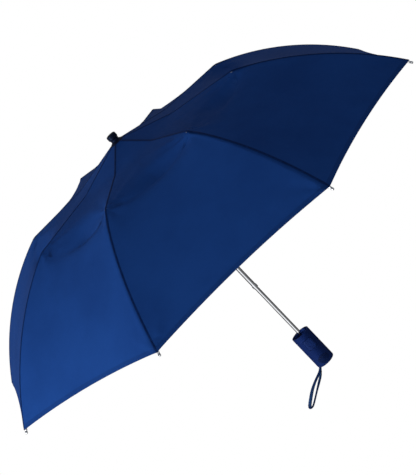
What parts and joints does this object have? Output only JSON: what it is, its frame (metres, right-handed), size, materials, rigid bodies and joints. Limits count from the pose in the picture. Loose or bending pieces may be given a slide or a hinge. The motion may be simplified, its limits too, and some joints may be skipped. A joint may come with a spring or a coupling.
{
  "type": "folding umbrella",
  "caption": "Open folding umbrella with a telescoping shaft, folding ribs, gored fabric canopy, cupped round grip, release button and braided wrist strap.",
  "frame": {"origin": "centre of the round grip, on the shaft's axis", "axes": "+Z along the shaft from the grip to the ferrule; -Y towards the release button; +X to its right seen from the button side"},
  "size_m": [0.8636, 0.8636, 0.5915],
  "materials": {
    "grip": "matte",
    "dark_plastic": "satin",
    "tube_steel": "polished",
    "rib_steel": "satin",
    "spring_steel": "satin",
    "canopy_cloth": "satin",
    "strap_cord": "matte"
  },
  "bodies": {
    "handle": {"grip_shell": "grip", "grip_core": "dark_plastic", "cup_liner": "dark_plastic", "base_cap": "dark_plastic", "lower_tube": "tube_steel", "strap_pin": "spring_steel", "wrist_strap": "strap_cord"},
    "button": {"release_button": "grip", "button_spring": "spring_steel"},
    "upper_shaft": {"upper_tube": "tube_steel", "tube_bush": "tube_steel", "opening_spring": "spring_steel", "spring_seat": "spring_steel", "runner_catch": "spring_steel", "top_notch": "dark_plastic", "notch_wire": "spring_steel", "ferrule_cap": "dark_plastic", "ferrule_washer": "dark_plastic", "canopy_panel_1": "canopy_cloth", "canopy_panel_2": "canopy_cloth", "canopy_panel_3": "canopy_cloth", "canopy_panel_4": "canopy_cloth", "canopy_panel_5": "canopy_cloth", "canopy_panel_6": "canopy_cloth", "canopy_panel_7": "canopy_cloth", "canopy_panel_8": "canopy_cloth"},
    "runner_body": {"runner": "dark_plastic", "runner_wire": "spring_steel"},
    "top_rib_arm_1": {"top_rib_1": "rib_steel"},
    "stretcher_arm_1": {"stretcher_1": "rib_steel"},
    "outer_rib_arm_1": {"outer_rib_1": "rib_steel"},
    "tie_link_arm_1": {"tie_link_1": "rib_steel"},
    "top_rib_arm_2": {"top_rib_2": "rib_steel"},
    "stretcher_arm_2": {"stretcher_2": "rib_steel"},
    "outer_rib_arm_2": {"outer_rib_2": "rib_steel"},
    "tie_link_arm_2": {"tie_link_2": "rib_steel"},
    "top_rib_arm_3": {"top_rib_3": "rib_steel"},
    "stretcher_arm_3": {"stretcher_3": "rib_steel"},
    "outer_rib_arm_3": {"outer_rib_3": "rib_steel"},
    "tie_link_arm_3": {"tie_link_3": "rib_steel"},
    "top_rib_arm_4": {"top_rib_4": "rib_steel"},
    "stretcher_arm_4": {"stretcher_4": "rib_steel"},
    "outer_rib_arm_4": {"outer_rib_4": "rib_steel"},
    "tie_link_arm_4": {"tie_link_4": "rib_steel"},
    "top_rib_arm_5": {"top_rib_5": "rib_steel"},
    "stretcher_arm_5": {"stretcher_5": "rib_steel"},
    "outer_rib_arm_5": {"outer_rib_5": "rib_steel"},
    "tie_link_arm_5": {"tie_link_5": "rib_steel"},
    "top_rib_arm_6": {"top_rib_6": "rib_steel"},
    "stretcher_arm_6": {"stretcher_6": "rib_steel"},
    "outer_rib_arm_6": {"outer_rib_6": "rib_steel"},
    "tie_link_arm_6": {"tie_link_6": "rib_steel"},
    "top_rib_arm_7": {"top_rib_7": "rib_steel"},
    "stretcher_arm_7": {"stretcher_7": "rib_steel"},
    "outer_rib_arm_7": {"outer_rib_7": "rib_steel"},
    "tie_link_arm_7": {"tie_link_7": "rib_steel"},
    "top_rib_arm_8": {"top_rib_8": "rib_steel"},
    "stretcher_arm_8": {"stretcher_8": "rib_steel"},
    "outer_rib_arm_8": {"outer_rib_8": "rib_steel"},
    "tie_link_arm_8": {"tie_link_8": "rib_steel"}
  },
  "joints": [
    {"name": "button_press", "type": "slide", "parent": "handle", "child": "button", "axis": [0, 1, 0], "range_m": [0, 0.002], "stiffness_N_per_m": 400, "springref_m": -0.002, "deforming": ["button_spring"]},
    {"name": "shaft_slide", "type": "slide", "parent": "handle", "child": "upper_shaft", "axis": [0, 0, 1], "range_m": [-0.148, 0], "deforming": ["opening_spring"]},
    {"name": "runner_slide", "type": "slide", "parent": "upper_shaft", "child": "runner_body", "axis": [0, 0, 1], "range_m": [-0.18971, 0], "deforming": ["canopy_panel_1", "canopy_panel_2", "canopy_panel_3", "canopy_panel_4", "canopy_panel_5", "canopy_panel_6", "canopy_panel_7", "canopy_panel_8"]},
    {"name": "hub_pivot_1", "type": "hinge", "parent": "upper_shaft", "child": "top_rib_arm_1", "pos_m": [0.00924, 0.00383, 0.475], "axis": [-0.3827, 0.9239, 0], "range_deg": [-0.5, 82.5]},
    {"name": "crossing_pivot_1", "type": "hinge", "parent": "top_rib_arm_1", "child": "stretcher_arm_1", "pos_m": [0.10663, 0.04417, 0.46392], "axis": [-0.3827, 0.9239, 0], "range_deg": [-164.5, 0.5]},
    {"name": "elbow_pivot_1", "type": "hinge", "parent": "stretcher_arm_1", "child": "outer_rib_arm_1", "pos_m": [0.21366, 0.0885, 0.45785], "axis": [-0.3827, 0.9239, 0], "range_deg": [-0.5, 131.6]},
    {"name": "tie_pivot_1", "type": "hinge", "parent": "top_rib_arm_1", "child": "tie_link_arm_1", "pos_m": [0.11582, 0.04797, 0.46287], "axis": [-0.3827, 0.9239, 0], "range_deg": [-164.28, 0.5]},
    {"name": "hub_pivot_2", "type": "hinge", "parent": "upper_shaft", "child": "top_rib_arm_2", "pos_m": [0.00383, 0.00924, 0.475], "axis": [-0.9239, 0.3827, 0], "range_deg": [-0.5, 82.5]},
    {"name": "crossing_pivot_2", "type": "hinge", "parent": "top_rib_arm_2", "child": "stretcher_arm_2", "pos_m": [0.04417, 0.10663, 0.46392], "axis": [-0.9239, 0.3827, 0], "range_deg": [-164.5, 0.5]},
    {"name": "elbow_pivot_2", "type": "hinge", "parent": "stretcher_arm_2", "child": "outer_rib_arm_2", "pos_m": [0.0885, 0.21366, 0.45785], "axis": [-0.9239, 0.3827, 0], "range_deg": [-0.5, 131.6]},
    {"name": "tie_pivot_2", "type": "hinge", "parent": "top_rib_arm_2", "child": "tie_link_arm_2", "pos_m": [0.04797, 0.11582, 0.46287], "axis": [-0.9239, 0.3827, 0], "range_deg": [-164.28, 0.5]},
    {"name": "hub_pivot_3", "type": "hinge", "parent": "upper_shaft", "child": "top_rib_arm_3", "pos_m": [-0.00383, 0.00924, 0.475], "axis": [-0.9239, -0.3827, 0], "range_deg": [-0.5, 82.5]},
    {"name": "crossing_pivot_3", "type": "hinge", "parent": "top_rib_arm_3", "child": "stretcher_arm_3", "pos_m": [-0.04417, 0.10663, 0.46392], "axis": [-0.9239, -0.3827, 0], "range_deg": [-164.5, 0.5]},
    {"name": "elbow_pivot_3", "type": "hinge", "parent": "stretcher_arm_3", "child": "outer_rib_arm_3", "pos_m": [-0.0885, 0.21366, 0.45785], "axis": [-0.9239, -0.3827, 0], "range_deg": [-0.5, 131.6]},
    {"name": "tie_pivot_3", "type": "hinge", "parent": "top_rib_arm_3", "child": "tie_link_arm_3", "pos_m": [-0.04797, 0.11582, 0.46287], "axis": [-0.9239, -0.3827, 0], "range_deg": [-164.28, 0.5]},
    {"name": "hub_pivot_4", "type": "hinge", "parent": "upper_shaft", "child": "top_rib_arm_4", "pos_m": [-0.00924, 0.00383, 0.475], "axis": [-0.3827, -0.9239, 0], "range_deg": [-0.5, 82.5]},
    {"name": "crossing_pivot_4", "type": "hinge", "parent": "top_rib_arm_4", "child": "stretcher_arm_4", "pos_m": [-0.10663, 0.04417, 0.46392], "axis": [-0.3827, -0.9239, 0], "range_deg": [-164.5, 0.5]},
    {"name": "elbow_pivot_4", "type": "hinge", "parent": "stretcher_arm_4", "child": "outer_rib_arm_4", "pos_m": [-0.21366, 0.0885, 0.45785], "axis": [-0.3827, -0.9239, 0], "range_deg": [-0.5, 131.6]},
    {"name": "tie_pivot_4", "type": "hinge", "parent": "top_rib_arm_4", "child": "tie_link_arm_4", "pos_m": [-0.11582, 0.04797, 0.46287], "axis": [-0.3827, -0.9239, 0], "range_deg": [-164.28, 0.5]},
    {"name": "hub_pivot_5", "type": "hinge", "parent": "upper_shaft", "child": "top_rib_arm_5", "pos_m": [-0.00924, -0.00383, 0.475], "axis": [0.3827, -0.9239, 0], "range_deg": [-0.5, 82.5]},
    {"name": "crossing_pivot_5", "type": "hinge", "parent": "top_rib_arm_5", "child": "stretcher_arm_5", "pos_m": [-0.10663, -0.04417, 0.46392], "axis": [0.3827, -0.9239, 0], "range_deg": [-164.5, 0.5]},
    {"name": "elbow_pivot_5", "type": "hinge", "parent": "stretcher_arm_5", "child": "outer_rib_arm_5", "pos_m": [-0.21366, -0.0885, 0.45785], "axis": [0.3827, -0.9239, 0], "range_deg": [-0.5, 131.6]},
    {"name": "tie_pivot_5", "type": "hinge", "parent": "top_rib_arm_5", "child": "tie_link_arm_5", "pos_m": [-0.11582, -0.04797, 0.46287], "axis": [0.3827, -0.9239, 0], "range_deg": [-164.28, 0.5]},
    {"name": "hub_pivot_6", "type": "hinge", "parent": "upper_shaft", "child": "top_rib_arm_6", "pos_m": [-0.00383, -0.00924, 0.475], "axis": [0.9239, -0.3827, 0], "range_deg": [-0.5, 82.5]},
    {"name": "crossing_pivot_6", "type": "hinge", "parent": "top_rib_arm_6", "child": "stretcher_arm_6", "pos_m": [-0.04417, -0.10663, 0.46392], "axis": [0.9239, -0.3827, 0], "range_deg": [-164.5, 0.5]},
    {"name": "elbow_pivot_6", "type": "hinge", "parent": "stretcher_arm_6", "child": "outer_rib_arm_6", "pos_m": [-0.0885, -0.21366, 0.45785], "axis": [0.9239, -0.3827, 0], "range_deg": [-0.5, 131.6]},
    {"name": "tie_pivot_6", "type": "hinge", "parent": "top_rib_arm_6", "child": "tie_link_arm_6", "pos_m": [-0.04797, -0.11582, 0.46287], "axis": [0.9239, -0.3827, 0], "range_deg": [-164.28, 0.5]},
    {"name": "hub_pivot_7", "type": "hinge", "parent": "upper_shaft", "child": "top_rib_arm_7", "pos_m": [0.00383, -0.00924, 0.475], "axis": [0.9239, 0.3827, 0], "range_deg": [-0.5, 82.5]},
    {"name": "crossing_pivot_7", "type": "hinge", "parent": "top_rib_arm_7", "child": "stretcher_arm_7", "pos_m": [0.04417, -0.10663, 0.46392], "axis": [0.9239, 0.3827, 0], "range_deg": [-164.5, 0.5]},
    {"name": "elbow_pivot_7", "type": "hinge", "parent": "stretcher_arm_7", "child": "outer_rib_arm_7", "pos_m": [0.0885, -0.21366, 0.45785], "axis": [0.9239, 0.3827, 0], "range_deg": [-0.5, 131.6]},
    {"name": "tie_pivot_7", "type": "hinge", "parent": "top_rib_arm_7", "child": "tie_link_arm_7", "pos_m": [0.04797, -0.11582, 0.46287], "axis": [0.9239, 0.3827, 0], "range_deg": [-164.28, 0.5]},
    {"name": "hub_pivot_8", "type": "hinge", "parent": "upper_shaft", "child": "top_rib_arm_8", "pos_m": [0.00924, -0.00383, 0.475], "axis": [0.3827, 0.9239, 0], "range_deg": [-0.5, 82.5]},
    {"name": "crossing_pivot_8", "type": "hinge", "parent": "top_rib_arm_8", "child": "stretcher_arm_8", "pos_m": [0.10663, -0.04417, 0.46392], "axis": [0.3827, 0.9239, 0], "range_deg": [-164.5, 0.5]},
    {"name": "elbow_pivot_8", "type": "hinge", "parent": "stretcher_arm_8", "child": "outer_rib_arm_8", "pos_m": [0.21366, -0.0885, 0.45785], "axis": [0.3827, 0.9239, 0], "range_deg": [-0.5, 131.6]},
    {"name": "tie_pivot_8", "type": "hinge", "parent": "top_rib_arm_8", "child": "tie_link_arm_8", "pos_m": [0.11582, -0.04797, 0.46287], "axis": [0.3827, 0.9239, 0], "range_deg": [-164.28, 0.5]}
  ],
  "couplings": [
    {"joint": "hub_pivot_1", "follows": "runner_slide", "rad_per_m": -7.544},
    {"joint": "crossing_pivot_1", "follows": "runner_slide", "rad_per_m": 15.088},
    {"joint": "elbow_pivot_1", "follows": "runner_slide", "rad_per_m": -12.061},
    {"joint": "tie_pivot_1", "follows": "runner_slide", "rad_per_m": 15.067},
    {"joint": "hub_pivot_2", "follows": "runner_slide", "rad_per_m": -7.544},
    {"joint": "crossing_pivot_2", "follows": "runner_slide", "rad_per_m": 15.088},
    {"joint": "elbow_pivot_2", "follows": "runner_slide", "rad_per_m": -12.061},
    {"joint": "tie_pivot_2", "follows": "runner_slide", "rad_per_m": 15.067},
    {"joint": "hub_pivot_3", "follows": "runner_slide", "rad_per_m": -7.544},
    {"joint": "crossing_pivot_3", "follows": "runner_slide", "rad_per_m": 15.088},
    {"joint": "elbow_pivot_3", "follows": "runner_slide", "rad_per_m": -12.061},
    {"joint": "tie_pivot_3", "follows": "runner_slide", "rad_per_m": 15.067},
    {"joint": "hub_pivot_4", "follows": "runner_slide", "rad_per_m": -7.544},
    {"joint": "crossing_pivot_4", "follows": "runner_slide", "rad_per_m": 15.088},
    {"joint": "elbow_pivot_4", "follows": "runner_slide", "rad_per_m": -12.061},
    {"joint": "tie_pivot_4", "follows": "runner_slide", "rad_per_m": 15.067},
    {"joint": "hub_pivot_5", "follows": "runner_slide", "rad_per_m": -7.544},
    {"joint": "crossing_pivot_5", "follows": "runner_slide", "rad_per_m": 15.088},
    {"joint": "elbow_pivot_5", "follows": "runner_slide", "rad_per_m": -12.061},
    {"joint": "tie_pivot_5", "follows": "runner_slide", "rad_per_m": 15.067},
    {"joint": "hub_pivot_6", "follows": "runner_slide", "rad_per_m": -7.544},
    {"joint": "crossing_pivot_6", "follows": "runner_slide", "rad_per_m": 15.088},
    {"joint": "elbow_pivot_6", "follows": "runner_slide", "rad_per_m": -12.061},
    {"joint": "tie_pivot_6", "follows": "runner_slide", "rad_per_m": 15.067},
    {"joint": "hub_pivot_7", "follows": "runner_slide", "rad_per_m": -7.544},
    {"joint": "crossing_pivot_7", "follows": "runner_slide", "rad_per_m": 15.088},
    {"joint": "elbow_pivot_7", "follows": "runner_slide", "rad_per_m": -12.061},
    {"joint": "tie_pivot_7", "follows": "runner_slide", "rad_per_m": 15.067},
    {"joint": "hub_pivot_8", "follows": "runner_slide", "rad_per_m": -7.544},
    {"joint": "crossing_pivot_8", "follows": "runner_slide", "rad_per_m": 15.088},
    {"joint": "elbow_pivot_8", "follows": "runner_slide", "rad_per_m": -12.061},
    {"joint": "tie_pivot_8", "follows": "runner_slide", "rad_per_m": 15.067}
  ]
}
